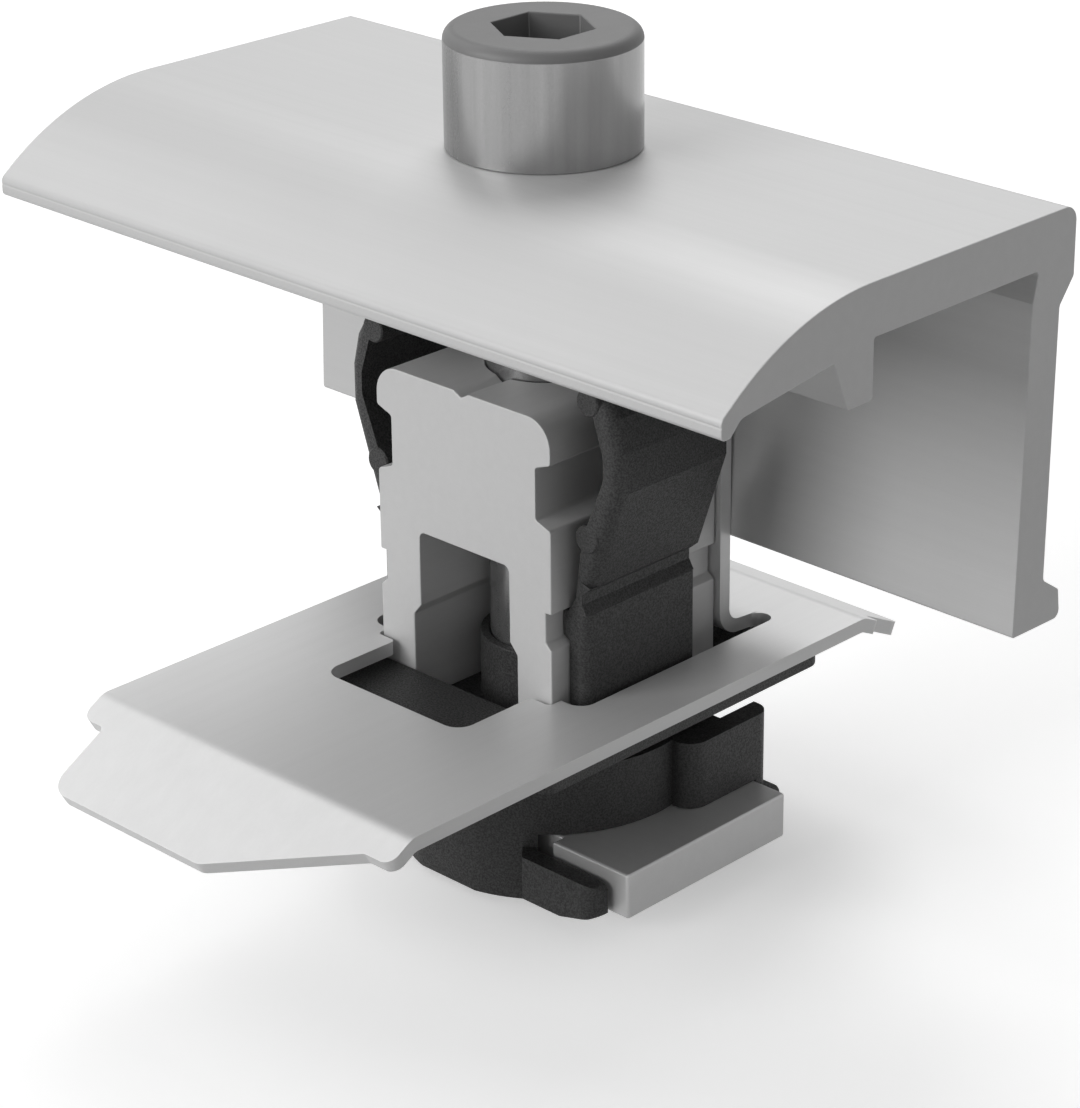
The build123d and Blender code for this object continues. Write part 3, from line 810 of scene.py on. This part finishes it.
def socket_screw():
    """The screw's head and smooth shank, down to where the thread starts."""
    thing = merged_copy("clamp_screw", "socket_screw")
    thread_start = (0, 0, THREAD_TOP * MM)
    with opened(thing.data) as work:
        everything = work.verts[:] + work.edges[:] + work.faces[:]
        bmesh.ops.bisect_plane(
            work, geom=everything, plane_co=thread_start, plane_no=(0, 0, -1), clear_outer=True
        )
        close_rims(work)
    break_edges(thing, width=0.1, angle=32, smooth=30)
    dress(thing, "clamp_screw")


socket_screw()
screw_thread()


# The folded plate, block, nut and mouldings: the CAD's shapes with broken edges

def spring_bow(node_name, piece_name):
    """A bow spring: the CAD's shape with broken edges, on a mesh of its own."""
    thing = finished_copy(node_name, piece_name, width=0.12, angle=24, smooth=8, clamped=True)
    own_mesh(thing)


finished_copy("base_plate", "folded_plate", width=0.08, clamped=True)
finished_copy("spacer_block", "grooved_block", width=0.1)
finished_copy("slot_nut", "tee_nut", width=0.05)
finished_copy("clip_holder", "clip_moulding", width=0.12)
finished_copy("nut_carrier", "turning_carrier", width=0.16, clamped=True)
finished_copy("top_cap", "bow_cradle", width=0.04)
spring_bow("left_bow", "left_bow_spring")
spring_bow("right_bow", "right_bow_spring")


# Floor, world and lamps

def show_or_light(tree, seen, lighting, surface):
    """Show one shader to camera, glossy and transmission rays, and light the object by another."""
    path = new_node(tree, "ShaderNodeLightPath")
    direct = number(tree, "MAXIMUM", path.outputs["Is Camera Ray"], path.outputs["Is Glossy Ray"])
    pick = new_node(tree, "ShaderNodeMixShader")
    feed(tree, number(tree, "MAXIMUM", direct, path.outputs["Is Transmission Ray"]), pick.inputs[0])
    feed(tree, lighting.outputs[0], pick.inputs[1])
    feed(tree, seen.outputs[0], pick.inputs[2])
    feed(tree, pick.outputs[0], surface)


def studio_floor():
    """A pale floor, seen lifted towards white by a glow that is dimmer near the object, a painted shade
    around it, over its real shadow.
    """
    mesh = bpy.data.meshes.new("studio_floor")
    z = FLOOR_HEIGHT * MM
    side = FLOOR_REACH * MM
    corners = [(-side, -side, z), (side, -side, z), (side, side, z), (-side, side, z)]
    mesh.from_pydata(corners, [], [(0, 1, 2, 3)])
    finish = bpy.data.materials.new("studio_floor")
    finish.use_nodes = True
    tree = finish.node_tree
    tree.nodes.clear()
    pale = new_node(tree, "ShaderNodeBsdfDiffuse")
    pale.inputs["Color"].default_value = grey(0.4)
    white = new_node(tree, "ShaderNodeBsdfDiffuse")
    white.inputs["Color"].default_value = grey(0.9)
    place = new_node(tree, "ShaderNodeTexCoord").outputs["Object"]
    away = new_node(tree, "ShaderNodeVectorMath", operation="LENGTH")
    feed(tree, place, away.inputs[0])
    glow_dimmed_near_object = new_node(tree, "ShaderNodeEmission")
    # The glow is dimmer within FLOOR_NEAR of the object and full by FLOOR_FAR: painted shade around the
    # object.
    strength = spread(tree, away.outputs["Value"], FLOOR_NEAR * MM, FLOOR_FAR * MM, 0.42, 0.85)
    feed(tree, strength, glow_dimmed_near_object.inputs["Strength"])
    lifted = new_node(tree, "ShaderNodeAddShader")
    feed(tree, white.outputs[0], lifted.inputs[0])
    feed(tree, glow_dimmed_near_object.outputs[0], lifted.inputs[1])
    end = new_node(tree, "ShaderNodeOutputMaterial")
    show_or_light(tree, lifted, pale, end.inputs["Surface"])
    mesh.materials.append(finish)
    add_object("studio_floor", mesh)


def studio_world():
    """White behind the object, and a softer light from it."""
    room = bpy.data.worlds.new("studio")
    bpy.context.scene.world = room
    room.use_nodes = True
    tree = room.node_tree
    tree.nodes.clear()
    soft = new_node(tree, "ShaderNodeBackground")
    soft.inputs["Strength"].default_value = 0.2
    white = new_node(tree, "ShaderNodeBackground")
    white.inputs["Strength"].default_value = 1.0
    for light in (soft, white):
        light.inputs["Color"].default_value = grey(1.0)
    end = new_node(tree, "ShaderNodeOutputWorld")
    show_or_light(tree, white, soft, end.inputs["Surface"])


LAMP_AIM = Vector((0.0, 0.0, 0.01))


def soft_lamp(name, position, width, height, power):
    """A soft rectangular lamp aimed at the object. Its place and size are in metres."""
    data = bpy.data.lights.new(name, "AREA")
    data.shape = "RECTANGLE"
    data.size = width
    data.size_y = height
    data.energy = power
    thing = bpy.data.objects.new(name, data)
    bpy.context.collection.objects.link(thing)
    thing.location = position
    aim = LAMP_AIM - Vector(position)
    thing.rotation_euler = aim.to_track_quat("-Z", "Y").to_euler()


studio_floor()
studio_world()
soft_lamp("back_lamp", (-0.66, 0.88, 1.24), width=0.8, height=0.8, power=9.4)
soft_lamp("side_lamp", (-1.15, -0.3, 1.2), width=1.1, height=1.1, power=5.6)
soft_lamp("front_lamp", (-0.3, -1.0, 0.42), width=0.7, height=0.5, power=7.2)

bpy.context.scene.view_settings.view_transform = "Standard"
